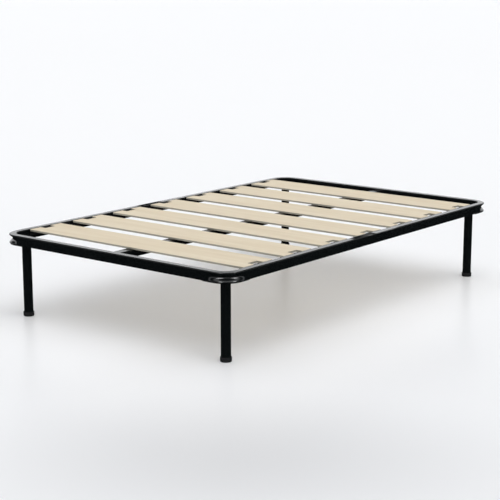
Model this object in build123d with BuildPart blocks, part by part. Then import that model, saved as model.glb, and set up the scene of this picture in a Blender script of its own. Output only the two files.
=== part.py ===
from build123d import *
import math
import os

# A knock-down bed frame: a ring of rectangular steel tube with four creased bends, a centre
# rail, seven wide plywood slats keyed into end holders, and four round screw-on legs.
# Millimetres. X runs across the bed, +Y towards the head, +Z up.
# The origin is on the floor, under the middle of the bed.

# ---------------------------------------------------------------- driving dimensions
bed_width = 1200.0
bed_length = 1900.0
bed_height = 350.0

# Perimeter tube
tube_height = 40.0
tube_width = 30.0
tube_wall = 1.5
tube_edge_radius = 3.5
bend_radius = 80.0          # to the outer face of the tube
crease_depth = 13.5         # how far the outer wall folds in at the middle of a bend
crease_tip_radius = 3.5
sleeve_length = 80.0        # inside each butt joint, half way along a side
sleeve_wall = 2.0
sleeve_clearance = 0.15

# Centre rail: the same tube stock laid flat, so high that the slats end level with the perimeter
centre_rail_width = tube_height
centre_rail_height = tube_width
weld_bead = 4.0
weld_hollow = 6.4           # radius of the bead's hollow face

# Slats
slat_count = 7
slat_pitch = 245.0
slat_width = 176.0
slat_thickness = 8.0
slat_end_gap = 0.3
slat_corner_radius = 5.0
slat_edge_radius = 2.0
notch_width = 57.0
notch_depth = 31.0
notch_corner_radius = 4.0

# Slat holders, one at each end of each slat
holder_back = 3.0
holder_floor = 4.0
holder_reach = 26.0         # its floor stops short of the notch's end
holder_drop = 20.0
holder_margin = 4.0         # slat edge beyond the holder, at each side
holder_lip = 4.0            # back above the slat's underside
key_reach = 10.0
key_clearance = 0.5
key_rise = 4.0
peg_radius = 4.0
peg_clearance = 0.1
peg_length = 6.0
peg_spread = 116.0
peg_drop = 10.0

# Legs and their fixings
leg_inset = 72.0            # leg axis from both outer faces of the perimeter
leg_radius = 19.0
leg_wall = 1.5
leg_disc_thickness = 4.0
leg_disc_clearance = 0.1
corner_plate_thickness = 3.0
corner_plate_inset = 5.0    # plate edge inside the tube's outer face
corner_plate_overlap = 48.0 # how far the plate runs past the ends of the bend
corner_plate_notch = 40.0
corner_weld_leg = 3.0
corner_weld_length = 22.0
corner_weld_spread = 64.0
bolt_radius = 5.0
bolt_clearance = 0.25
bolt_head_flats = 17.0
bolt_head_height = 6.4
bolt_tip = 3.0
bolt_tip_chamfer = 1.0
nut_flats = 17.0
nut_height = 8.0

# Foot caps
cap_wall = 3.2
cap_height = 18.0
cap_floor = 4.0
cap_clearance = 0.1
cap_foot_radius = 2.5
cap_lip_radius = 1.25

# ---------------------------------------------------------------- derived levels and places
rail_bottom = bed_height - tube_height
rail_middle = bed_height - tube_height / 2
half_width = bed_width / 2
half_length = bed_length / 2
inner_half_width = half_width - tube_width
inner_half_length = half_length - tube_width
slat_bottom = bed_height - slat_thickness
centre_rail_bottom = slat_bottom - centre_rail_height
slat_half_length = inner_half_width - holder_back - slat_end_gap
plate_bottom = rail_bottom - corner_plate_thickness
corner_plate_reach = bend_radius + corner_plate_overlap
cap_radius = leg_radius + cap_clearance + cap_wall
holder_length = slat_width - 2 * holder_margin

CORNERS = [("foot_left", -1, -1), ("foot_right", 1, -1), ("head_left", -1, 1), ("head_right", 1, 1)]
SIDES = [("left", -1), ("right", 1)]

os.makedirs("parts", exist_ok=True)


def finish(block, label):
    """Label the finished piece and write its STEP file."""
    block.part.label = label
    export_step(block.part, f"parts/{label}.step")


def section_plane(x, y, z):
    """Upright plane that faces +Y, with its own x along the bed's X."""
    return Plane(origin=(x, y, z), x_dir=(1, 0, 0), z_dir=(0, 1, 0))


# ---------------------------------------------------------------- perimeter tube
# Each half is a U of rectangular tube. In plan its middle line runs from the middle of one
# side, round two bends, to the middle of the other side.
bend_middle = bend_radius - tube_width / 2
side_middle = half_width - tube_width / 2
end_middle = half_length - tube_width / 2
path_points = [(-side_middle, 0), (-side_middle, -end_middle), (side_middle, -end_middle), (side_middle, 0)]

# The crease is a V ring round an axis set back along the corner's diagonal, so that it is
# crease_depth deep in the middle of the bend and runs out where the straight tube begins.
crease_setback = (2 * bend_radius * crease_depth - crease_depth**2) / (
    (2 - math.sqrt(2)) * bend_radius - 2 * crease_depth
)
crease_ring = bend_radius + crease_setback - crease_depth
crease_axis = half_width - bend_radius - crease_setback / math.sqrt(2)
crease_axis_y = half_length - bend_radius - crease_setback / math.sqrt(2)
crease_half_angle = 27.0
crease_mouth = 30.0
bend_places = [(-1, 225.0), (1, 315.0)]


def tube_run(width, height, radius):
    """Solid bar of the given section along the U, before it is hollowed."""
    corners = [Vector(x, y, rail_middle) for x, y in path_points]
    with BuildPart() as run:
        with BuildLine():
            route = FilletPolyline(*corners, radius=bend_middle)
        with BuildSketch(Plane(origin=route @ 0, x_dir=(1, 0, 0), z_dir=route % 0)):
            RectangleRounded(width, height, radius)
        sweep(path=route)
    return run.part


def crease_cutter(side, facing, thicken):
    """V ring that folds the outer wall in; thicken moves its faces in by the wall."""
    start = facing - crease_half_angle
    plane = Plane(
        origin=(side * crease_axis, -crease_axis_y, rail_middle),
        x_dir=Vector(1, 0, 0).rotate(Axis.Z, start),
        z_dir=Vector(0, -1, 0).rotate(Axis.Z, start),
    )
    turning_axis = Axis((side * crease_axis, -crease_axis_y, 0), (0, 0, 1))
    with BuildPart() as ring:
        with BuildSketch(plane) as vee:
            with BuildLine():
                Polyline(
                    (crease_ring, 0),
                    (crease_ring + crease_mouth, crease_mouth),
                    (crease_ring + crease_mouth, -crease_mouth),
                    close=True,
                )
            make_face()
            fillet(vee.vertices().sort_by(Axis((0, 0, 0), plane.x_dir))[0], crease_tip_radius)
            if thicken > 0:
                offset(amount=thicken)
        revolve(axis=turning_axis, revolution_arc=2 * crease_half_angle)
    return ring.part


outer_bar = tube_run(tube_width, tube_height, tube_edge_radius)
inner_bar = tube_run(tube_width - 2 * tube_wall, tube_height - 2 * tube_wall, tube_edge_radius - tube_wall)
outer_creases = [crease_cutter(side, facing, 0) for side, facing in bend_places]
inner_creases = [crease_cutter(side, facing, tube_wall) for side, facing in bend_places]

with BuildPart() as bore:
    add(inner_bar)
    add(inner_creases, mode=Mode.SUBTRACT)

# Holes for the holders' pegs go through the inner wall only.
slat_places = [(i - (slat_count - 1) / 2) * slat_pitch for i in range(slat_count)]
peg_places = [y + s * peg_spread / 2 for y in slat_places for s in (-1, 1)]
peg_level = slat_bottom - peg_drop
peg_hole_depth = 4 * tube_wall

with BuildPart() as foot_tube:
    add(outer_bar)
    add(outer_creases, mode=Mode.SUBTRACT)
    add(bore.part, mode=Mode.SUBTRACT)
    for name, side in SIDES:
        for y in [p for p in peg_places if p < 0]:
            with Locations(Plane(origin=(side * inner_half_width, y, peg_level), z_dir=(side, 0, 0))):
                Cylinder(peg_radius + peg_clearance, peg_hole_depth, mode=Mode.SUBTRACT)
finish(foot_tube, "foot_tube")

with BuildPart() as head_tube:
    add(foot_tube.part)
    mirror(about=Plane.XZ, mode=Mode.REPLACE)
finish(head_tube, "head_tube")

# ---------------------------------------------------------------- sleeves in the butt joints
sleeve_width = tube_width - 2 * (tube_wall + sleeve_clearance)
sleeve_height = tube_height - 2 * (tube_wall + sleeve_clearance)
sleeve_radius = tube_edge_radius - tube_wall
for name, side in SIDES:
    with BuildPart() as sleeve:
        with BuildSketch(section_plane(side * side_middle, -sleeve_length / 2, rail_middle)):
            RectangleRounded(sleeve_width, sleeve_height, sleeve_radius)
            offset(amount=-sleeve_wall, mode=Mode.SUBTRACT)
        extrude(amount=sleeve_length)
    finish(sleeve, f"joint_sleeve_{name}")

# ---------------------------------------------------------------- centre rail and its welds
with BuildPart() as centre_rail:
    with BuildSketch(section_plane(0, -inner_half_length, centre_rail_bottom + centre_rail_height / 2)):
        RectangleRounded(centre_rail_width, centre_rail_height, tube_edge_radius)
        RectangleRounded(
            centre_rail_width - 2 * tube_wall,
            centre_rail_height - 2 * tube_wall,
            tube_edge_radius - tube_wall,
            mode=Mode.SUBTRACT,
        )
    extrude(amount=2 * inner_half_length)
finish(centre_rail, "centre_rail")

# A fillet weld across the top of the centre rail at each end.
bead_run = centre_rail_width - 2 * tube_edge_radius
with BuildPart() as centre_rail_welds:
    for end in (-1, 1):
        corner_y = end * inner_half_length
        bead_start = Plane(origin=(-bead_run / 2, corner_y, slat_bottom), x_dir=(0, -end, 0), z_dir=(1, 0, 0))
        with BuildSketch(bead_start):
            with BuildLine():
                Line((0, 0), (weld_bead, 0))
                RadiusArc((weld_bead, 0), (0, end * -weld_bead), weld_hollow)
                Line((0, end * -weld_bead), (0, 0))
            make_face()
        extrude(amount=bead_run)
finish(centre_rail_welds, "centre_rail_welds")

# ---------------------------------------------------------------- slats
# Each end is cut to two prongs with a square notch between them.
notch_end = slat_half_length - notch_depth
for number, slat_y in enumerate(slat_places, start=1):
    with BuildPart() as slat:
        with BuildSketch(Plane.XY.offset(slat_bottom)) as outline:
            with Locations((0, slat_y)):
                Rectangle(2 * slat_half_length, slat_width)
            fillet(outline.vertices(), slat_corner_radius)
            with Locations((-slat_half_length, slat_y), (slat_half_length, slat_y)):
                Rectangle(2 * notch_depth, notch_width, mode=Mode.SUBTRACT)
            notch_ends = outline.vertices().filter_by_position(Axis.X, -notch_end, notch_end)
            fillet(notch_ends, notch_corner_radius)
        extrude(amount=slat_thickness)
        long_edges = slat.edges().filter_by(Axis.X).group_by(SortBy.LENGTH)[-1]
        fillet(long_edges, slat_edge_radius)
    finish(slat, f"slat_{number}")

# ---------------------------------------------------------------- slat holders
# Moulded tray: a back against the rail, a floor under both prongs, a key that fills the mouth
# of the notch, and two pegs into the rail.
for name, side in SIDES:
    back_face = side * inner_half_width
    for number, slat_y in enumerate(slat_places, start=1):
        with BuildPart() as holder:
            with BuildSketch(Plane.XY.offset(slat_bottom - holder_drop)):
                with Locations((back_face - side * holder_back / 2, slat_y)):
                    Rectangle(holder_back, holder_length)
            extrude(amount=holder_drop + holder_lip)
            with BuildSketch(Plane.XY.offset(slat_bottom - holder_floor)):
                with Locations((back_face - side * holder_reach / 2, slat_y)):
                    Rectangle(holder_reach, holder_length)
            extrude(amount=holder_floor)
            with BuildSketch(Plane.XY.offset(slat_bottom)):
                with Locations((back_face - side * key_reach / 2, slat_y)):
                    Rectangle(key_reach, notch_width - 2 * key_clearance)
            extrude(amount=key_rise)
            for edge in (-1, 1):
                peg_y = slat_y + edge * peg_spread / 2
                with BuildSketch(Plane(origin=(back_face, peg_y, peg_level), z_dir=(side, 0, 0))):
                    Circle(peg_radius)
                extrude(amount=peg_length)
        finish(holder, f"slat_holder_{name}_{number}")

# ---------------------------------------------------------------- corners and legs
weld_ring = bend_radius - corner_plate_inset
weld_turn = math.degrees(corner_weld_spread / 2 / weld_ring)
weld_arc = math.degrees(corner_weld_length / weld_ring)
bolt_hole_depth = 3 * corner_plate_thickness
head_top = plate_bottom - leg_disc_thickness

for name, sx, sy in CORNERS:
    corner = Vector(sx * half_width, sy * half_length)
    leg_x = sx * (half_width - leg_inset)
    leg_y = sy * (half_length - leg_inset)

    # Plate across the corner, under the tube. Its outer edge follows the bend and its inner
    # edge is cut straight across the corner.
    with BuildPart() as plate:
        with BuildSketch(Plane.XY.offset(plate_bottom)) as plate_outline:
            with BuildLine():
                Polyline(
                    (sx * (half_width - corner_plate_inset), sy * (half_length - corner_plate_inset)),
                    (sx * (half_width - corner_plate_inset), sy * (half_length - corner_plate_reach)),
                    (sx * (half_width - corner_plate_notch), sy * (half_length - corner_plate_reach)),
                    (sx * (half_width - corner_plate_reach), sy * (half_length - corner_plate_notch)),
                    (sx * (half_width - corner_plate_reach), sy * (half_length - corner_plate_inset)),
                    close=True,
                )
            make_face()
            outer_corner = plate_outline.vertices().sort_by_distance(corner)[0]
            fillet(outer_corner, weld_ring)
        extrude(amount=corner_plate_thickness)
        with Locations((leg_x, leg_y, rail_bottom)):
            Cylinder(bolt_radius + bolt_clearance, bolt_hole_depth, mode=Mode.SUBTRACT)
    finish(plate, f"corner_plate_{name}")

    # Two weld runs close the outer edge of the plate against the underside of the tube.
    bend_x = sx * (half_width - bend_radius)
    bend_y = sy * (half_length - bend_radius)
    facing = math.degrees(math.atan2(sy, sx))
    bend_axis = Axis((bend_x, bend_y, 0), (0, 0, 1))
    with BuildPart() as corner_weld:
        for turn in (-weld_turn, weld_turn):
            start = facing + turn - weld_arc / 2
            weld_start = Plane(
                origin=(bend_x, bend_y, rail_bottom),
                x_dir=Vector(1, 0, 0).rotate(Axis.Z, start),
                z_dir=Vector(0, -1, 0).rotate(Axis.Z, start),
            )
            with BuildSketch(weld_start):
                with BuildLine():
                    Polyline(
                        (weld_ring, 0),
                        (weld_ring + corner_weld_leg, 0),
                        (weld_ring, -corner_plate_thickness),
                        close=True,
                    )
                make_face()
            revolve(axis=bend_axis, revolution_arc=weld_arc)
    finish(corner_weld, f"corner_weld_{name}")

    with BuildPart() as nut:
        with BuildSketch(Plane.XY.offset(rail_bottom)):
            with Locations((leg_x, leg_y)):
                RegularPolygon(nut_flats / 2, 6, major_radius=False)
                Circle(bolt_radius, mode=Mode.SUBTRACT)
        extrude(amount=nut_height)
    finish(nut, f"weld_nut_{name}")

    with BuildPart() as leg:
        with BuildSketch(Plane.XY.offset(cap_floor)):
            with Locations((leg_x, leg_y)):
                Circle(leg_radius)
                Circle(leg_radius - leg_wall, mode=Mode.SUBTRACT)
        extrude(amount=plate_bottom - cap_floor)
    finish(leg, f"leg_tube_{name}")

    with BuildPart() as disc:
        with BuildSketch(Plane.XY.offset(plate_bottom - leg_disc_thickness)):
            with Locations((leg_x, leg_y)):
                Circle(leg_radius - leg_wall - leg_disc_clearance)
                Circle(bolt_radius + bolt_clearance, mode=Mode.SUBTRACT)
        extrude(amount=leg_disc_thickness)
    finish(disc, f"leg_disc_{name}")

    with BuildPart() as bolt:
        with BuildSketch(Plane.XY.offset(head_top - bolt_head_height)):
            with Locations((leg_x, leg_y)):
                RegularPolygon(bolt_head_flats / 2, 6, major_radius=False)
        extrude(amount=bolt_head_height)
        with BuildSketch(Plane.XY.offset(head_top)):
            with Locations((leg_x, leg_y)):
                Circle(bolt_radius)
        extrude(amount=rail_bottom + nut_height + bolt_tip - head_top)
        chamfer(bolt.edges().sort_by(Axis.Z)[-1], bolt_tip_chamfer)
    finish(bolt, f"leg_bolt_{name}")

    with BuildPart() as cap:
        with BuildSketch(Plane.XY):
            with Locations((leg_x, leg_y)):
                Circle(cap_radius)
        extrude(amount=cap_height)
        fillet(cap.edges().group_by(Axis.Z)[0], cap_foot_radius)
        fillet(cap.edges().group_by(Axis.Z)[-1], cap_lip_radius)
        with BuildSketch(Plane.XY.offset(cap_floor)):
            with Locations((leg_x, leg_y)):
                Circle(leg_radius + cap_clearance)
        extrude(amount=cap_height - cap_floor, mode=Mode.SUBTRACT)
    finish(cap, f"foot_cap_{name}")
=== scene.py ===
"""Looks of a slatted steel bed frame: bent tube ring, centre rail, plywood slats, round legs."""

import math

import bpy
import numpy as np
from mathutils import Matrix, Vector


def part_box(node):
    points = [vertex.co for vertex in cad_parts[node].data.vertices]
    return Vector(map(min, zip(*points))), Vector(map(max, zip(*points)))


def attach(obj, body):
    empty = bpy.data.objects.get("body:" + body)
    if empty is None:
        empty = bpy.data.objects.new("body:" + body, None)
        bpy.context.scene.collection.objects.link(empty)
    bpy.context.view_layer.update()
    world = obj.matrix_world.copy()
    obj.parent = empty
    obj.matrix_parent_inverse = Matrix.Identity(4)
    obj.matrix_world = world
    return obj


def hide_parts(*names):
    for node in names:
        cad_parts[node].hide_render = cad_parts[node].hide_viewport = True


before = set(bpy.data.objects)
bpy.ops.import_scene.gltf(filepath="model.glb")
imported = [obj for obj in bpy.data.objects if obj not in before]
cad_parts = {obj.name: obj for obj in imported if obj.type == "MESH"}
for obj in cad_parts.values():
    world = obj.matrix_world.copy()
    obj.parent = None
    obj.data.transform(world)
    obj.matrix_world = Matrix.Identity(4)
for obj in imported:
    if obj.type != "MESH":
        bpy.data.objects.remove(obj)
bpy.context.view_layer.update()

bl_info = {
    "name": "Slatted steel bed frame",
    "version": (1, 0, 0),
    "blender": (4, 5, 0),
    "location": "View3D > Sidebar > Bed",
    "description": "Finished pieces of a slatted steel bed frame round its construction model",
    "category": "Object",
}

BODY = "root"
ENDS = {"foot": -1, "head": 1}
SIDES = {"left": -1, "right": 1}
CORNERS = {f"{end}_{side}": (sx, sy) for end, sy in ENDS.items() for side, sx in SIDES.items()}


# ---------------------------------------------------------------- places taken from the frame
def size_of(node):
    """Lowest corner, highest corner and size of a construction node, as arrays in metres."""
    low, high = (np.array(corner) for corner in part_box(node))
    return low, high, high - low


RING_LOW, RING_HIGH, _ = size_of("foot_tube")
HALF_WIDTH = RING_HIGH[0]
HALF_LENGTH = -RING_LOW[1]
RING_TOP = RING_HIGH[2]
RING_BOTTOM = RING_LOW[2]
_, RAIL_HIGH, _ = size_of("centre_rail")
TUBE_HEIGHT = RING_TOP - RING_BOTTOM
TUBE_WIDTH = HALF_LENGTH - RAIL_HIGH[1]

# ---------------------------------------------------------------- fixed sizes, in metres
RAIL_BEAD_PITCH = 0.0026  # length of one ripple
CORNER_BEAD_PITCH = 0.0024
CORNER_BEAD_LEG = 0.0036
CORNER_BEAD_LENGTH = 0.022
CORNER_BEAD_SPREAD = 0.032  # from the middle of the bend to the middle of a bead, along the arc
CORNER_BEAD_INSET = 0.005  # from the ring's outer face to the bead's root
CORNER_BEAD_SINK = 0.0002  # from the ring's underside up to the bead's root
THREAD_PITCH = 0.0015
THREAD_DEPTH = 0.0007
THREAD_RADIUS = 0.005
THREAD_CHAMFER = 0.0006  # round both mouths of the nut's bore
HEXAGON_SEGMENTS = 48
CAP_SEGMENTS = 72
CAP_CLEARANCE = 0.0001  # round the leg
CAP_EASE = 0.0005  # rounding of the cap's edges


# ---------------------------------------------------------------- settings
class TubeSettings(bpy.types.PropertyGroup):
    """Sizes of the steel tube and its bends."""

    wall: bpy.props.FloatProperty(
        name="Wall", description="Wall thickness of the tube",
        default=0.0015, subtype="DISTANCE", unit="LENGTH",
    )
    edge_radius: bpy.props.FloatProperty(
        name="Edge radius", description="Outer radius along the tube's four edges",
        default=0.0035, subtype="DISTANCE", unit="LENGTH",
    )
    bend_radius: bpy.props.FloatProperty(
        name="Bend radius", description="Radius of a corner, to the outer face",
        default=0.080, subtype="DISTANCE", unit="LENGTH",
    )
    crease_depth: bpy.props.FloatProperty(
        name="Crease depth", description="How far the outer wall folds in at the middle of a bend",
        default=0.0135, subtype="DISTANCE", unit="LENGTH",
    )
    run_out: bpy.props.FloatProperty(
        name="Run-out", description="How far a crease runs on past each end of its bend",
        default=0.016, subtype="DISTANCE", unit="LENGTH",
    )
    lip_sag: bpy.props.FloatProperty(
        name="Lip sag", description="How far the top and bottom walls lean together in a bend",
        default=0.001, subtype="DISTANCE", unit="LENGTH",
    )
    pucker: bpy.props.FloatProperty(
        name="Pucker", description="Height of the small ripples on the inside of a bend",
        default=0.0005, subtype="DISTANCE", unit="LENGTH",
    )
    coat_color: bpy.props.FloatVectorProperty(
        name="Coat colour", description="Colour of the powder coat",
        default=(0.0022, 0.0031, 0.0033), subtype="COLOR", min=0, max=1,
    )


class FinishSettings(bpy.types.PropertyGroup):
    """Colours of the metal and plastic finishes."""

    steel_color: bpy.props.FloatVectorProperty(
        name="Steel colour", description="Colour of the uncoated steel",
        default=(0.42, 0.42, 0.43), subtype="COLOR", min=0, max=1,
    )
    zinc_color: bpy.props.FloatVectorProperty(
        name="Zinc colour", description="Colour of the bolts' zinc plate",
        default=(0.66, 0.67, 0.68), subtype="COLOR", min=0, max=1,
    )
    plastic_color: bpy.props.FloatVectorProperty(
        name="Plastic colour", description="Colour of the foot caps and slat holders",
        default=(0.012, 0.012, 0.013), subtype="COLOR", min=0, max=1,
    )


class StageSettings(bpy.types.PropertyGroup):
    """Camera, floor and light."""

    azimuth: bpy.props.FloatProperty(
        name="Azimuth", description="Camera direction round the bed, from the foot end",
        default=math.radians(38.52), subtype="ANGLE", unit="ROTATION",
    )
    elevation: bpy.props.FloatProperty(
        name="Elevation", description="How far the camera looks down",
        default=math.radians(12.115), subtype="ANGLE", unit="ROTATION",
    )
    lens: bpy.props.FloatProperty(
        name="Lens", description="Focal length in millimetres",
        default=99.35, subtype="DISTANCE_CAMERA", unit="CAMERA",
    )
    eye: bpy.props.FloatVectorProperty(
        name="Eye", description="Camera position",
        default=(3.629, -4.632, 1.463), subtype="XYZ", unit="LENGTH",
    )
    floor_color: bpy.props.FloatVectorProperty(
        name="Floor colour", description="Colour of the plain floor",
        default=(0.898, 0.903, 0.913), subtype="COLOR", min=0, max=1,
    )
    # Painted shadow on the floor: a soft darker pool painted into the floor's colour, standing in
    # for shade in front of the bed.
    painted_shadow: bpy.props.FloatVectorProperty(
        name="Tone dip", description="Middle of the deeper tone on the floor",
        default=(1.23, -1.62, 0), subtype="XYZ", unit="LENGTH",
    )
    painted_shadow_share: bpy.props.FloatProperty(
        name="Tone share", description="Share of the floor's tone left in the middle of the dip",
        default=0.83, min=0, max=1, subtype="FACTOR",
    )
    walls: bpy.props.FloatProperty(
        name="Wall light", description="Brightness of the studio's walls", default=1.27, min=0,
    )
    overhead: bpy.props.FloatProperty(
        name="Overhead light", description="Strength of the overhead light", default=1.3, min=0,
    )
    overhead_spread: bpy.props.FloatProperty(
        name="Overhead spread", description="Angle that the overhead light fills",
        default=math.radians(65), subtype="ANGLE", unit="ROTATION",
    )
    softbox_size: bpy.props.FloatProperty(
        name="Softbox size", description="Side of each square softbox",
        default=0.9, subtype="DISTANCE", unit="LENGTH",
    )
    softbox_power: bpy.props.FloatProperty(
        name="Softbox power", description="Power of each softbox in watts",
        default=34, subtype="POWER", unit="POWER",
    )


# ---------------------------------------------------------------- shader graphs
class Socket:
    """One output of a shader node; arithmetic on it adds Math nodes."""

    def __init__(self, graph, output):
        self.graph = graph
        self.output = output

    def math(self, operation, first, second):
        return self.graph.node("ShaderNodeMath", {"operation": operation}, {0: first, 1: second})

    def __add__(self, other):
        return self.math("ADD", self, other)

    def __radd__(self, other):
        return self.math("ADD", other, self)

    def __sub__(self, other):
        return self.math("SUBTRACT", self, other)

    def __rsub__(self, other):
        return self.math("SUBTRACT", other, self)

    def __mul__(self, other):
        return self.math("MULTIPLY", self, other)

    def __rmul__(self, other):
        return self.math("MULTIPLY", other, self)


class Graph:
    """The node tree of one material or of the world."""

    def __init__(self, owner):
        owner.use_nodes = True
        self.owner = owner
        self.tree = owner.node_tree
        self.tree.nodes.clear()

    def node(self, kind, settings=None, inputs=None, output=0):
        """Add a node, with its settings first and then the values or links of its sockets."""
        made = self.tree.nodes.new(kind)
        for key, value in (settings or {}).items():
            if key == "stops":
                ramp = made.color_ramp
                while len(ramp.elements) < len(value):
                    ramp.elements.new(1.0)
                for element, (position, color) in zip(ramp.elements, value):
                    element.position = position
                    element.color = color
            else:
                setattr(made, key, value)
        for key, value in (inputs or {}).items():
            if isinstance(value, Socket):
                self.tree.links.new(value.output, made.inputs[key])
            else:
                made.inputs[key].default_value = value
        return Socket(self, made.outputs[output]) if made.outputs else None

    def place(self, scale=(1, 1, 1)):
        """Object coordinates in metres, stretched by scale."""
        here = self.node("ShaderNodeTexCoord", output="Object")
        return self.node("ShaderNodeMapping", inputs={"Vector": here, "Scale": scale})

    def noise(self, where, scale, detail=2.0, roughness=0.5):
        inputs = {"Vector": where, "Scale": scale, "Detail": detail, "Roughness": roughness}
        return self.node("ShaderNodeTexNoise", inputs=inputs)

    def mix(self, factor, first, second):
        """Blend two colours."""
        inputs = {0: factor, 6: first, 7: second}
        return self.node("ShaderNodeMix", {"data_type": "RGBA"}, inputs, output=2)

    def bump(self, height, strength, distance):
        inputs = {"Height": height, "Strength": strength, "Distance": distance}
        return self.node("ShaderNodeBump", inputs=inputs)

    def surface(self, **sockets):
        """A Principled surface; names use underscores for the spaces of the socket names."""
        inputs = {key.replace("_", " "): value for key, value in sockets.items()}
        shader = self.node("ShaderNodeBsdfPrincipled", inputs=inputs)
        self.node("ShaderNodeOutputMaterial", inputs={"Surface": shader})
        return self.owner


def opaque(color):
    return (color[0], color[1], color[2], 1.0)


def powder_coat(name, color):
    """Baked black coat: near black, half gloss, with a faint orange peel and uneven gloss."""
    graph = Graph(bpy.data.materials.new(name))
    where = graph.place()
    peel = graph.noise(where, 420.0, detail=3.0)
    cloud = graph.noise(where, 9.0, detail=2.0)
    return graph.surface(
        Base_Color=graph.mix(cloud, opaque(color), opaque([1.6 * c for c in color])),
        Roughness=0.13 + 0.08 * cloud,
        Specular_IOR_Level=0.5,
        Normal=graph.bump(peel, 0.06, 0.0002),
    )


def moulded_plastic(name, color):
    """Matt moulded plastic with a fine spark-eroded grain."""
    graph = Graph(bpy.data.materials.new(name))
    where = graph.place()
    grain = graph.noise(where, 1500.0, detail=2.0)
    cloud = graph.noise(where, 30.0)
    return graph.surface(
        Base_Color=graph.mix(cloud, opaque(color), opaque([1.5 * c for c in color])),
        Roughness=0.6 + 0.14 * cloud,
        Specular_IOR_Level=0.12,
        Normal=graph.bump(grain, 0.25, 0.0002),
    )


def bare_metal(name, color, roughness):
    """Uncoated steel with fine scuffs."""
    graph = Graph(bpy.data.materials.new(name))
    where = graph.place((1, 1, 12))
    scuff = graph.noise(where, 180.0, detail=4.0)
    return graph.surface(
        Base_Color=graph.mix(scuff, opaque(color), opaque([0.75 * c for c in color])),
        Metallic=1.0,
        Roughness=roughness + 0.15 * scuff,
        Normal=graph.bump(scuff, 0.08, 0.0002),
    )


def plywood(name, shift, top, bottom):
    """Pale sanded plywood: long soft grain on the faces and level plies on the cut edges."""
    graph = Graph(bpy.data.materials.new(name))
    here = graph.node("ShaderNodeTexCoord", output="Object")
    inputs = {"Vector": here, "Location": (0.31 * shift, 0.17 * shift, 0), "Scale": (1.2, 14, 14)}
    where = graph.node("ShaderNodeMapping", inputs=inputs)
    figure = graph.noise(where, 2.2, detail=5.0, roughness=0.55)
    fibre_place = graph.node("ShaderNodeMapping", inputs={"Vector": here, "Scale": (6, 300, 300)})
    fibre = graph.noise(fibre_place, 3.0, detail=3.0)
    stops = [
        (0.3, (0.69, 0.585, 0.42, 1)), (0.5, (0.745, 0.645, 0.48, 1)), (0.7, (0.78, 0.69, 0.53, 1)),
    ]
    face = graph.node("ShaderNodeValToRGB", {"stops": stops}, {0: figure})
    face = graph.mix(0.35 * fibre, face, (0.66, 0.55, 0.39, 1))
    # Plies: five layers through the thickness, every second one end grain and darker.
    plies = 5
    level = graph.node("ShaderNodeSeparateXYZ", inputs={0: here}, output=2)
    layer = (level - bottom) * (plies / (top - bottom))
    wave = graph.node("ShaderNodeMath", {"operation": "PINGPONG"}, {0: layer, 1: 1.0})
    band = graph.node("ShaderNodeMapRange", {}, {0: wave, 1: 0.35, 2: 0.65, 3: 0.0, 4: 1.0})
    edge = graph.mix(band, (0.32, 0.295, 0.235, 1), (0.50, 0.465, 0.385, 1))
    normal = graph.node("ShaderNodeNewGeometry", output="Normal")
    upright = graph.node("ShaderNodeSeparateXYZ", inputs={0: normal}, output=2)
    flat = graph.node("ShaderNodeMath", {"operation": "ABSOLUTE"}, {0: upright})
    on_face = graph.node("ShaderNodeMapRange", {}, {0: flat, 1: 0.6, 2: 0.95, 3: 0.0, 4: 1.0})
    return graph.surface(
        Base_Color=graph.mix(on_face, edge, face),
        Roughness=0.52 + 0.12 * figure,
        Normal=graph.bump(fibre, 0.12, 0.0003),
    )


# ---------------------------------------------------------------- mesh building
def grid_faces(rows, columns, close_rows, close_columns):
    """Quads of a rows x columns grid of points; closing joins the last line to the first."""
    i = np.arange(rows if close_rows else rows - 1)[:, None]
    j = np.arange(columns if close_columns else columns - 1)[None, :]
    i_next = (i + 1) % rows
    j_next = (j + 1) % columns
    row, next_row = i * columns, i_next * columns
    corners = (row + j, next_row + j, next_row + j_next, row + j_next)
    return np.stack(np.broadcast_arrays(*corners), axis=-1).reshape(-1, 4)


def add_piece(name, points, faces, node, material):
    """Make a smooth mesh object from arrays, in place of a construction node."""
    mesh = bpy.data.meshes.new(name)
    mesh.from_pydata(points.reshape(-1, 3), [], [list(face) for face in faces])
    mesh.validate()
    mesh.polygons.foreach_set("use_smooth", np.ones(len(mesh.polygons), bool))
    mesh.materials.append(material)
    piece = bpy.data.objects.new(name, mesh)
    bpy.context.scene.collection.objects.link(piece)
    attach(piece, BODY)
    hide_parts(node)


def keep_node(node, material):
    """Keep a construction node's own shape and give it a finish."""
    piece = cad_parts[node]
    piece.data.materials.clear()
    piece.data.materials.append(material)


def tube_section(width, height, radius, wall_steps, arc_steps=7):
    """Rounded rectangle, counterclockwise from the middle of the outer (+) wall, as (across, up).

    Each side is split evenly into wall_steps, with one extra point close to each arc so that
    smooth shading keeps the walls flat. Each corner is a quarter circle of the given radius.
    """
    half = np.array([width / 2 - radius, height / 2 - radius])
    centres = np.array([[1, 1], [-1, 1], [-1, -1], [1, -1]]) * half
    guard = 0.12 * radius
    outline = []
    for turn in range(4):
        angle = np.linspace(turn, turn + 1, arc_steps + 1) * math.pi / 2
        arc = centres[turn] + radius * np.stack([np.cos(angle), np.sin(angle)], axis=1)
        following = (turn + 1) % 4
        start_angle = (turn + 1) * math.pi / 2
        side_start = arc[-1]
        outwards = np.array([math.cos(start_angle), math.sin(start_angle)])
        side_end = centres[following] + radius * outwards
        length = np.linalg.norm(side_end - side_start)
        steps = wall_steps[turn]
        share = np.linspace(guard / length, 1 - guard / length, steps + 1)[:, None]
        outline += [arc, side_start + share * (side_end - side_start)]
    return np.concatenate(outline)


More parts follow.
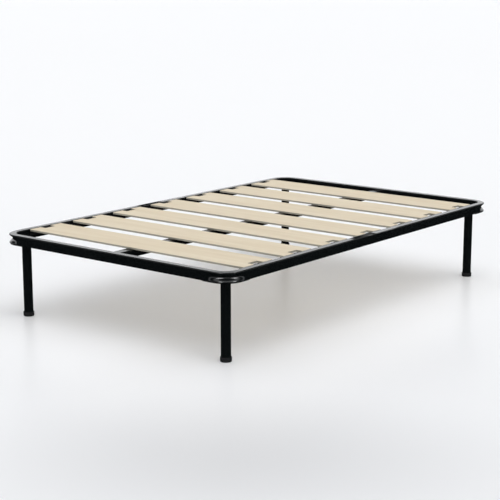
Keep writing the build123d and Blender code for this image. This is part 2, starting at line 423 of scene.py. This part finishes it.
def ring_path(half_x, half_y, radius, run_out, bend_steps=56):
    """Middle line of one U of the ring, from (-half_x, 0) round two bends to (half_x, 0).

    Returns points, outward normals and the share of the way along a crease
    (0 before it, 1 after it).
    A crease starts run_out before its bend and ends run_out after it.
    """
    bend_length = radius * math.pi / 2
    side_length = half_y - radius
    foot_half = half_x - radius
    coarse = np.linspace(0, side_length - run_out, 6)
    fine = np.linspace(-run_out, 0, 13)[1:]
    round_bend = np.linspace(0, bend_length, bend_steps + 1)[1:]
    after = np.linspace(0, run_out, 13)[1:]
    last = np.linspace(run_out, foot_half, 5)[1:]
    # Distance from the start of the bend, along the left half of the U.
    straight = bend_length + np.concatenate([after, last])
    along = np.concatenate([coarse - side_length, fine, round_bend, straight])
    angle = np.clip(along / bend_length, 0, 1) * math.pi / 2 + math.pi
    normals = np.stack([np.cos(angle), np.sin(angle)], axis=1)
    points = np.array([-foot_half, -side_length]) + radius * normals
    points[:, 1] -= np.minimum(along, 0)
    points[:, 0] += np.maximum(along - bend_length, 0)
    share = np.clip((along + run_out) / (bend_length + 2 * run_out), 0, 1)
    flip = np.array([-1, 1])
    points = np.concatenate([points, (points * flip)[-2::-1]])
    normals = np.concatenate([normals, (normals * flip)[-2::-1]])
    return points, normals, np.concatenate([share, share[-2::-1]])


def bent_surface(section, path, inset, tube):
    """Carry a section along the ring's path and crease it in the bends.

    fold = 1 - (1 - sin(pi t))^1.5 for share t of the crease. The outer wall moves in by
    depth x fold x cos(pi v / 2 v0)^1.6 at height v, where v0 is 0.43 of the tube's height. The top
    wall leans down towards the outside by sag x fold, the bottom wall leans up by a quarter of
    that, and the inner wall ripples by pucker x fold x cos(14 pi t).
    """
    points, normals, share = path
    across = section[None, :, 0]
    up = section[None, :, 1]
    fold = (1 - (1 - np.sin(math.pi * share)) ** 1.5)[:, None]
    half_width = TUBE_WIDTH / 2
    crease_half = 0.43 * TUBE_HEIGHT
    vee = np.cos(np.clip(up / crease_half, -1, 1) * math.pi / 2) ** 1.6
    outer = np.clip(across / (half_width - inset), 0, 1) ** 2
    inner = np.clip(-across / (half_width - inset), 0, 1) ** 4
    ripple = tube.pucker * fold * np.cos(14 * math.pi * share)[:, None] * vee
    moved = across - tube.crease_depth * fold * vee * outer + ripple * inner
    outward = ((across + half_width) / TUBE_WIDTH).clip(0, 1)
    lean = tube.lip_sag * fold * outward * np.where(up > 0, 1.0, 0.25)
    height = up - np.sign(up) * lean * (np.abs(up) / (TUBE_HEIGHT / 2)) ** 2
    surface = np.empty((len(points), len(section), 3))
    surface[..., 0] = points[:, None, 0] + moved * normals[:, None, 0]
    surface[..., 1] = points[:, None, 1] + moved * normals[:, None, 1]
    surface[..., 2] = (RING_TOP + RING_BOTTOM) / 2 + height
    return surface


def hollow(outer, inner):
    """Join an outer and an inner skin, both open grids with closed sections, with ring ends."""
    rows, columns, _ = outer.shape
    count = rows * columns
    skin = grid_faces(rows, columns, False, True)
    lining = skin[:, ::-1] + count
    around = np.arange(columns)
    following = (around + 1) % columns
    first = np.stack([following, around, around + count, following + count], axis=1)
    last_row = count - columns
    last = np.stack([around, following, following + count, around + count], axis=1) + last_row
    points = np.concatenate([outer.reshape(-1, 3), inner.reshape(-1, 3)])
    return points, np.concatenate([skin, lining, first, last])


def closed_rows(rows):
    """Points and faces of a stack of closed rows, with one flat face over each end.

    rows is an array (row, point in row, xyz) whose rows run counterclockwise as seen from the
    side the stack grows towards.
    """
    count, columns, _ = rows.shape
    skin = grid_faces(count, columns, False, True)[:, ::-1].tolist()
    first = list(range(columns))[::-1]
    last = [(count - 1) * columns + j for j in range(columns)]
    return rows.reshape(-1, 3), skin + [first, last]


def turned(profile, segments, shape=None):
    """Rows of a turned solid about the Z axis: radius and height pairs, from the bottom up.

    shape, if given, is a limit on the radius at each angle, such as a hexagon's.
    """
    angle = np.arange(segments) * 2 * math.pi / segments
    radius = np.repeat(profile[:, :1], segments, axis=1)
    if shape is not None:
        radius = np.minimum(radius, shape(angle)[None, :])
    height = np.repeat(profile[:, 1:], segments, axis=1)
    return np.stack([radius * np.cos(angle), radius * np.sin(angle), height], axis=-1)


def hexagon(flats):
    """Radius of a hexagon with a corner on +X: half the flats over the cosine from mid flat."""
    return lambda angle: flats / 2 / np.cos(np.mod(angle, math.pi / 3) - math.pi / 6)


def eased(profile, radius, steps=4):
    """Round every inner corner of an open profile with a quadratic curve of the given reach."""
    out = [profile[0]]
    for before, corner, after in zip(profile[:-2], profile[1:-1], profile[2:]):
        back, ahead = before - corner, after - corner
        reach = min(radius, 0.45 * np.linalg.norm(back), 0.45 * np.linalg.norm(ahead))
        start = corner + back / np.linalg.norm(back) * reach
        end = corner + ahead / np.linalg.norm(ahead) * reach
        t = np.linspace(0, 1, steps + 1)[:, None]
        out += list((1 - t) ** 2 * start + 2 * t * (1 - t) * corner + t**2 * end)
    return np.array(out + [profile[-1]])


def weld_bead(path, side, up, leg, pitch):
    """Rows of a rippled fillet bead along a path, in the corner between two plates.

    The bead's radius at distance s along its run is leg x (0.80 + 0.12 |sin(pi s / pitch)|),
    drawn in to nothing at both ends as a quarter circle; each ripple is bowed back by a third of
    its pitch.
    """
    run = np.concatenate([[0], np.cumsum(np.linalg.norm(np.diff(path, axis=0), axis=1))])
    angle = np.linspace(0, math.pi / 2, 9)
    bow = pitch / 3 * np.sin(2 * angle)
    swell = 0.80 + 0.12 * np.abs(np.sin(math.pi * (run[:, None] + bow) / pitch))
    to_end = np.minimum(run, run[-1] - run)
    taper = np.sqrt(1 - (1 - np.clip(to_end / leg, 0.02, 1)) ** 2)[:, None]
    radius = leg * swell * taper
    across = radius[..., None] * np.cos(angle)[None, :, None] * side[:, None, :]
    above = radius[..., None] * np.sin(angle)[None, :, None] * up
    arc = path[:, None, :] + across + above
    return np.concatenate([path[:, None, :], arc], axis=1)


# ---------------------------------------------------------------- operators
class BED_OT_ring(bpy.types.Operator):
    """Build the two bent tubes of the perimeter, with creased bends"""

    bl_idname = "bed.ring"
    bl_label = "Perimeter tubes"

    def execute(self, context):
        tube = context.scene.bed_tube
        coat = powder_coat("ring_coat", tube.coat_color)
        half_x = HALF_WIDTH - TUBE_WIDTH / 2
        half_y = HALF_LENGTH - TUBE_WIDTH / 2
        path = ring_path(half_x, half_y, tube.bend_radius - TUBE_WIDTH / 2, tube.run_out)
        steps = (4, 10, 4, 28)
        outside = tube_section(TUBE_WIDTH, TUBE_HEIGHT, tube.edge_radius, steps)
        trim = 2 * tube.wall
        inner_edge = tube.edge_radius - tube.wall
        inside = tube_section(TUBE_WIDTH - trim, TUBE_HEIGHT - trim, inner_edge, steps)
        outer = bent_surface(outside, path, 0.0, tube)
        inner = bent_surface(inside, path, tube.wall, tube)
        points, faces = hollow(outer, inner)
        add_piece("foot_tube_bent", points, faces, "foot_tube", coat)
        add_piece("head_tube_bent", points * [1, -1, 1], faces[:, ::-1], "head_tube", coat)
        return {"FINISHED"}


class BED_OT_steelwork(bpy.types.Operator):
    """Finish the centre rail, sleeves, corner plates, legs and their fixings"""

    bl_idname = "bed.steelwork"
    bl_label = "Steelwork"

    def execute(self, context):
        coat = powder_coat("steelwork_coat", context.scene.bed_tube.coat_color)
        steel = bare_metal("mill_steel", context.scene.bed_finish.steel_color, 0.35)
        keep_node("centre_rail", coat)
        for side in SIDES:
            keep_node(f"joint_sleeve_{side}", steel)
        for corner in CORNERS:
            for part in ("corner_plate", "leg_tube"):
                keep_node(f"{part}_{corner}", coat)
            keep_node(f"leg_disc_{corner}", steel)
        return {"FINISHED"}


class BED_OT_welds(bpy.types.Operator):
    """Build the rippled weld beads of the centre rail and of the corner plates"""

    bl_idname = "bed.welds"
    bl_label = "Welds"

    def execute(self, context):
        tube = context.scene.bed_tube
        coat = powder_coat("weld_coat", tube.coat_color)
        low, high, size = size_of("centre_rail_welds")
        leg = float(size[2])
        beads = []
        for end in ENDS.values():
            x = np.linspace(low[0], high[0], 80) * -end
            corner = high[1] * end
            path = np.stack([x, np.full_like(x, corner), np.full_like(x, low[2])], axis=1)
            side = np.tile([0.0, -float(end), 0.0], (len(x), 1))
            beads.append(weld_bead(path, side, np.array([0, 0, 1.0]), leg, RAIL_BEAD_PITCH))
        self.build("centre_rail_beads", beads, "centre_rail_welds", coat)
        for corner, (sx, sy) in CORNERS.items():
            facing = math.atan2(sy, sx)
            middle_x = sx * (HALF_WIDTH - tube.bend_radius)
            middle_y = sy * (HALF_LENGTH - tube.bend_radius)
            middle = np.array([middle_x, middle_y, RING_BOTTOM + CORNER_BEAD_SINK])
            root = tube.bend_radius - CORNER_BEAD_INSET
            down = np.array([0, 0, -1.0])
            beads = []
            for turn in (-1, 1):
                centre = facing + turn * CORNER_BEAD_SPREAD / root
                angle = centre + np.linspace(-0.5, 0.5, 60) * CORNER_BEAD_LENGTH / root
                out = np.stack([np.cos(angle), np.sin(angle), np.zeros_like(angle)], axis=1)
                path = middle + root * out
                beads.append(weld_bead(path, out, down, CORNER_BEAD_LEG, CORNER_BEAD_PITCH))
            self.build(f"corner_beads_{corner}", beads, f"corner_weld_{corner}", coat)
        return {"FINISHED"}

    def build(self, name, beads, node, coat):
        """Put several beads into one piece."""
        points, faces = [], []
        for rows in beads:
            offset = sum(len(p) for p in points)
            more_points, more_faces = closed_rows(rows)
            points.append(more_points)
            faces += [[index + offset for index in face] for face in more_faces]
        add_piece(name, np.concatenate(points), faces, node, coat)


class BED_OT_fixings(bpy.types.Operator):
    """Build the leg bolts with rolled threads and the chamfered weld nuts"""

    bl_idname = "bed.fixings"
    bl_label = "Bolts and nuts"

    def execute(self, context):
        finish = context.scene.bed_finish
        zinc = bare_metal("zinc_plate", finish.zinc_color, 0.25)
        steel = bare_metal("nut_steel", finish.steel_color, 0.35)
        for corner in CORNERS:
            nut_low, nut_high, nut_size = size_of(f"weld_nut_{corner}")
            bolt_low, bolt_high, _ = size_of(f"leg_bolt_{corner}")
            axis = (nut_low + nut_high) / 2 * [1, 1, 0]
            flats = float(nut_size[1])
            _, disc_high, _ = size_of(f"leg_disc_{corner}")
            points, faces = closed_rows(self.bolt(bolt_low[2], disc_high[2], bolt_high[2], flats))
            name, node = f"leg_bolt_threaded_{corner}", f"leg_bolt_{corner}"
            add_piece(name, points + axis, faces, node, zinc)
            points, faces = self.nut(nut_low[2], nut_high[2], flats)
            name, node = f"weld_nut_turned_{corner}", f"weld_nut_{corner}"
            add_piece(name, points + axis, faces, node, steel)
        return {"FINISHED"}

    def bolt(self, bottom, head_top, tip, flats):
        """Rows of a hexagon bolt, head down.

        The thread's radius is the bolt's less the depth times 1 - |2p - 1|, a triangle wave of the
        phase p = (height / pitch - turn) mod 1. It fades in at the head and tapers at the tip.
        """
        widest = flats / 2 / math.cos(math.pi / 6)
        chamfer, rim, rim_inset = 0.0014, 0.0002, 0.0004
        profile = np.array([
            (widest * 0.76, bottom), (widest * 0.80, bottom), (widest, bottom + chamfer),
            (widest, head_top - rim), (widest - rim_inset, head_top),
        ])
        head = turned(profile, HEXAGON_SEGMENTS, hexagon(flats))
        angle = np.arange(HEXAGON_SEGMENTS)[None, :] * 2 * math.pi / HEXAGON_SEGMENTS
        z = np.linspace(head_top, tip - 0.0002, 110)[:, None]
        phase = np.mod((z - head_top) / THREAD_PITCH - angle / (2 * math.pi), 1)
        fade = np.clip((z - head_top) / 0.001, 0, 1)
        point_off = np.clip((z - (tip - 0.0012)) / 0.001, 0, 1) * 0.001
        r = THREAD_RADIUS - THREAD_DEPTH * fade * (1 - np.abs(2 * phase - 1)) - point_off
        z = np.repeat(z, HEXAGON_SEGMENTS, axis=1)
        shank = np.stack([r * np.cos(angle), r * np.sin(angle), z], axis=-1)
        end = turned(np.array([(THREAD_RADIUS - 0.0016, tip)]), HEXAGON_SEGMENTS)
        return np.concatenate([head, shank, end])

    def nut(self, bottom, top, flats):
        """Points and faces of a hexagon nut, chamfered at the top and round its bore."""
        widest = flats / 2 / math.cos(math.pi / 6)
        rim, top_chamfer, mouth = 0.0003, 0.0013, 0.0056
        profile = np.array([
            (widest - rim, bottom), (widest, bottom + rim), (widest, top - top_chamfer),
            (widest * 0.83, top), (mouth, top), (THREAD_RADIUS, top - THREAD_CHAMFER),
            (THREAD_RADIUS, bottom + THREAD_CHAMFER), (mouth, bottom),
        ])
        rows = turned(profile, HEXAGON_SEGMENTS, hexagon(flats))
        return rows.reshape(-1, 3), grid_faces(len(rows), HEXAGON_SEGMENTS, True, True)[:, ::-1]


class BED_OT_foot_caps(bpy.types.Operator):
    """Build the four foot caps, each with a rolled lip, a draft, a groove and a dished sole"""

    bl_idname = "bed.foot_caps"
    bl_label = "Foot caps"

    def execute(self, context):
        plastic = moulded_plastic("foot_cap_plastic", context.scene.bed_finish.plastic_color)
        for corner in CORNERS:
            low, high, size = size_of(f"foot_cap_{corner}")
            leg_low, _, leg_size = size_of(f"leg_tube_{corner}")
            bore = float(leg_size[0]) / 2 + CAP_CLEARANCE
            profile = self.profile(float(size[0]) / 2, bore, float(leg_low[2]), float(high[2]))
            rows = turned(profile, CAP_SEGMENTS) + [*((low + high) / 2)[:2], 0]
            points, faces = closed_rows(rows)
            name, node = f"foot_cap_moulded_{corner}", f"foot_cap_{corner}"
            add_piece(name, points, faces, node, plastic)
        return {"FINISHED"}

    def profile(self, wide, bore, floor, top):
        """Radius and height pairs, from the dished sole up the outside and down the bore."""
        dish, foot_round, draft, groove = 0.0008, 0.0022, 0.0003, 0.0009
        lip, taper, rim, rim_round = 0.0030, 0.0002, 0.0006, 0.0010
        corners = [
            (wide * 0.55, dish), (wide * 0.62, 0.0), (wide - foot_round, 0.0),
            (wide - draft, foot_round), (wide - draft, 0.0040), (wide - groove, 0.0044),
            (wide - groove, 0.0052), (wide - taper, 0.0056), (wide, top - lip),
            (wide - taper, top - rim), (wide - rim_round, top), (bore + rim, top),
            (bore, top - rim), (bore, floor), (bore * 0.5, floor),
        ]
        return eased(np.array(corners), CAP_EASE)


class BED_OT_holders(bpy.types.Operator):
    """Finish the slat holders"""

    bl_idname = "bed.holders"
    bl_label = "Slat holders"

    def execute(self, context):
        plastic = moulded_plastic("black_plastic_grain", context.scene.bed_finish.plastic_color)
        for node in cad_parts:
            if node.startswith("slat_holder_"):
                keep_node(node, plastic)
        return {"FINISHED"}


class BED_OT_slats(bpy.types.Operator):
    """Finish the plywood slats"""

    bl_idname = "bed.slats"
    bl_label = "Slats"

    def execute(self, context):
        names = sorted(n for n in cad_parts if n.startswith("slat_") and n[5:].isdigit())
        for shift, node in enumerate(names, start=1):
            low, high, _ = size_of(node)
            wood = plywood(f"plywood_{shift}", shift, float(high[2]), float(low[2]))
            keep_node(node, wood)
        return {"FINISHED"}


class BED_OT_stage(bpy.types.Operator):
    """Lay the floor, set the lights and aim the camera"""

    bl_idname = "bed.stage"
    bl_label = "Stage"

    def execute(self, context):
        stage = context.scene.bed_stage
        floor_size = 400
        bpy.ops.mesh.primitive_plane_add(size=floor_size)
        floor = context.object
        floor.name = "studio_floor"
        floor.data.materials.append(self.floor_material(stage))
        floor.visible_glossy = False

        # The overhead light isn't mirrored, and the softboxes only show as glints.
        overhead = self.lamp("overhead", "SUN", (1.6, -0.3, 3.2), (0, 0, 0), stage.overhead)
        overhead.data.angle = stage.overhead_spread
        overhead.visible_glossy = False
        near_bend = (0.6, -0.95, 0.33)
        places = {"softbox_front": (0.9, -2.9, 2.6), "softbox_side": (2.7, -0.6, 2.45)}
        for name, place in places.items():
            softbox = self.lamp(name, "AREA", place, near_bend, stage.softbox_power)
            softbox.data.size = stage.softbox_size
            softbox.visible_diffuse = False
        self.world(context.scene, stage)

        camera = bpy.data.objects.new("camera", bpy.data.cameras.new("camera"))
        context.scene.collection.objects.link(camera)
        camera.data.lens = stage.lens
        camera.data.sensor_width = 36
        camera.data.clip_end = 100
        camera.location = stage.eye
        camera.rotation_euler = (math.pi / 2 - stage.elevation, 0, stage.azimuth)
        context.scene.camera = camera
        context.scene.view_settings.view_transform = "Standard"
        return {"FINISHED"}

    def lamp(self, name, kind, place, aim, power):
        """A lamp that shines from place towards aim."""
        lamp = bpy.data.objects.new(name, bpy.data.lights.new(name, kind))
        lamp.data.energy = power
        lamp.location = place
        lamp.rotation_euler = (Vector(aim) - Vector(place)).to_track_quat("-Z", "Y").to_euler()
        bpy.context.scene.collection.objects.link(lamp)
        return lamp

    def floor_material(self, stage):
        """Pale seamless floor, with a soft painted shadow darkening its colour on the camera's side
        of the bed.
        """
        graph = Graph(bpy.data.materials.new("studio_floor"))
        here = graph.node("ShaderNodeTexCoord", output="Object")
        # Painted shadow: a soft oval pool round the given middle, where the floor's colour is
        # darkened to the given share.
        painted_shadow_across, painted_shadow_along = 1.15, 0.75
        inputs = {"Vector": here, "Location": stage.painted_shadow, "Rotation": (0, 0, stage.azimuth)}
        centred = graph.node("ShaderNodeMapping", {"vector_type": "TEXTURE"}, inputs)
        inputs = {"Vector": centred, "Scale": (1 / painted_shadow_across, 1 / painted_shadow_along, 1)}
        stretched = graph.node("ShaderNodeMapping", inputs=inputs)
        spherical = {"gradient_type": "SPHERICAL"}
        painted_shadow_pool = graph.node("ShaderNodeTexGradient", spherical, {"Vector": stretched})
        painted_shadow_mask = graph.node("ShaderNodeMapRange", {"interpolation_type": "SMOOTHSTEP"}, {0: painted_shadow_pool})
        painted_shade = opaque([stage.painted_shadow_share * c for c in stage.floor_color])
        color = graph.mix(painted_shadow_mask, opaque(stage.floor_color), painted_shade)
        return graph.surface(Base_Color=color, Roughness=0.3, Specular_IOR_Level=0.15)

    def world(self, scene, stage):
        """White walls up to about fifteen degrees, a dark band and a pale ceiling; dark below."""
        scene.world = bpy.data.worlds.new("studio")
        graph = Graph(scene.world)
        direction = graph.node("ShaderNodeTexCoord", output="Generated")
        height = graph.node("ShaderNodeSeparateXYZ", inputs={0: direction}, output=2)
        white = (0.99, 1.0, 1.015, 1)
        shade = (0.03, 0.031, 0.033, 1)
        below = (0.01, 0.011, 0.012, 1)
        ceiling = (1.0, 1.01, 1.03, 1)
        # Height above the horizon in degrees, and the colour there.
        steps = [
            (-2, below), (0, white), (15.5, white), (19.5, shade), (42, shade), (58, ceiling),
        ]
        stops = [(0.5 + math.sin(math.radians(degrees)) / 2, color) for degrees, color in steps]
        ramp = graph.node("ShaderNodeValToRGB", {"stops": stops}, {0: 0.5 + 0.5 * height})
        sky = graph.node("ShaderNodeBackground", inputs={"Color": ramp, "Strength": stage.walls})
        graph.node("ShaderNodeOutputWorld", inputs={"Surface": sky})


class BED_PT_panel(bpy.types.Panel):
    """Bed frame pieces and their settings"""

    bl_label = "Bed frame"
    bl_idname = "BED_PT_panel"
    bl_space_type = "VIEW_3D"
    bl_region_type = "UI"
    bl_category = "Bed"

    def draw(self, context):
        scene = context.scene
        for settings in (scene.bed_tube, scene.bed_finish, scene.bed_stage):
            for key in settings.__annotations__:
                self.layout.prop(settings, key)
        for operator in OPERATORS:
            self.layout.operator(operator.bl_idname)


OPERATORS = (
    BED_OT_stage, BED_OT_ring, BED_OT_steelwork, BED_OT_welds, BED_OT_fixings, BED_OT_foot_caps,
    BED_OT_holders, BED_OT_slats,
)
CLASSES = (TubeSettings, FinishSettings, StageSettings, *OPERATORS, BED_PT_panel)


def register():
    for cls in CLASSES:
        bpy.utils.register_class(cls)
    bpy.types.Scene.bed_tube = bpy.props.PointerProperty(type=TubeSettings)
    bpy.types.Scene.bed_finish = bpy.props.PointerProperty(type=FinishSettings)
    bpy.types.Scene.bed_stage = bpy.props.PointerProperty(type=StageSettings)


def unregister():
    del bpy.types.Scene.bed_stage
    del bpy.types.Scene.bed_finish
    del bpy.types.Scene.bed_tube
    for cls in reversed(CLASSES):
        bpy.utils.unregister_class(cls)


def main():
    register()
    bpy.ops.bed.stage()
    bpy.ops.bed.ring()
    bpy.ops.bed.steelwork()
    bpy.ops.bed.welds()
    bpy.ops.bed.fixings()
    bpy.ops.bed.foot_caps()
    bpy.ops.bed.holders()
    bpy.ops.bed.slats()


if __name__ == "__main__":
    main()
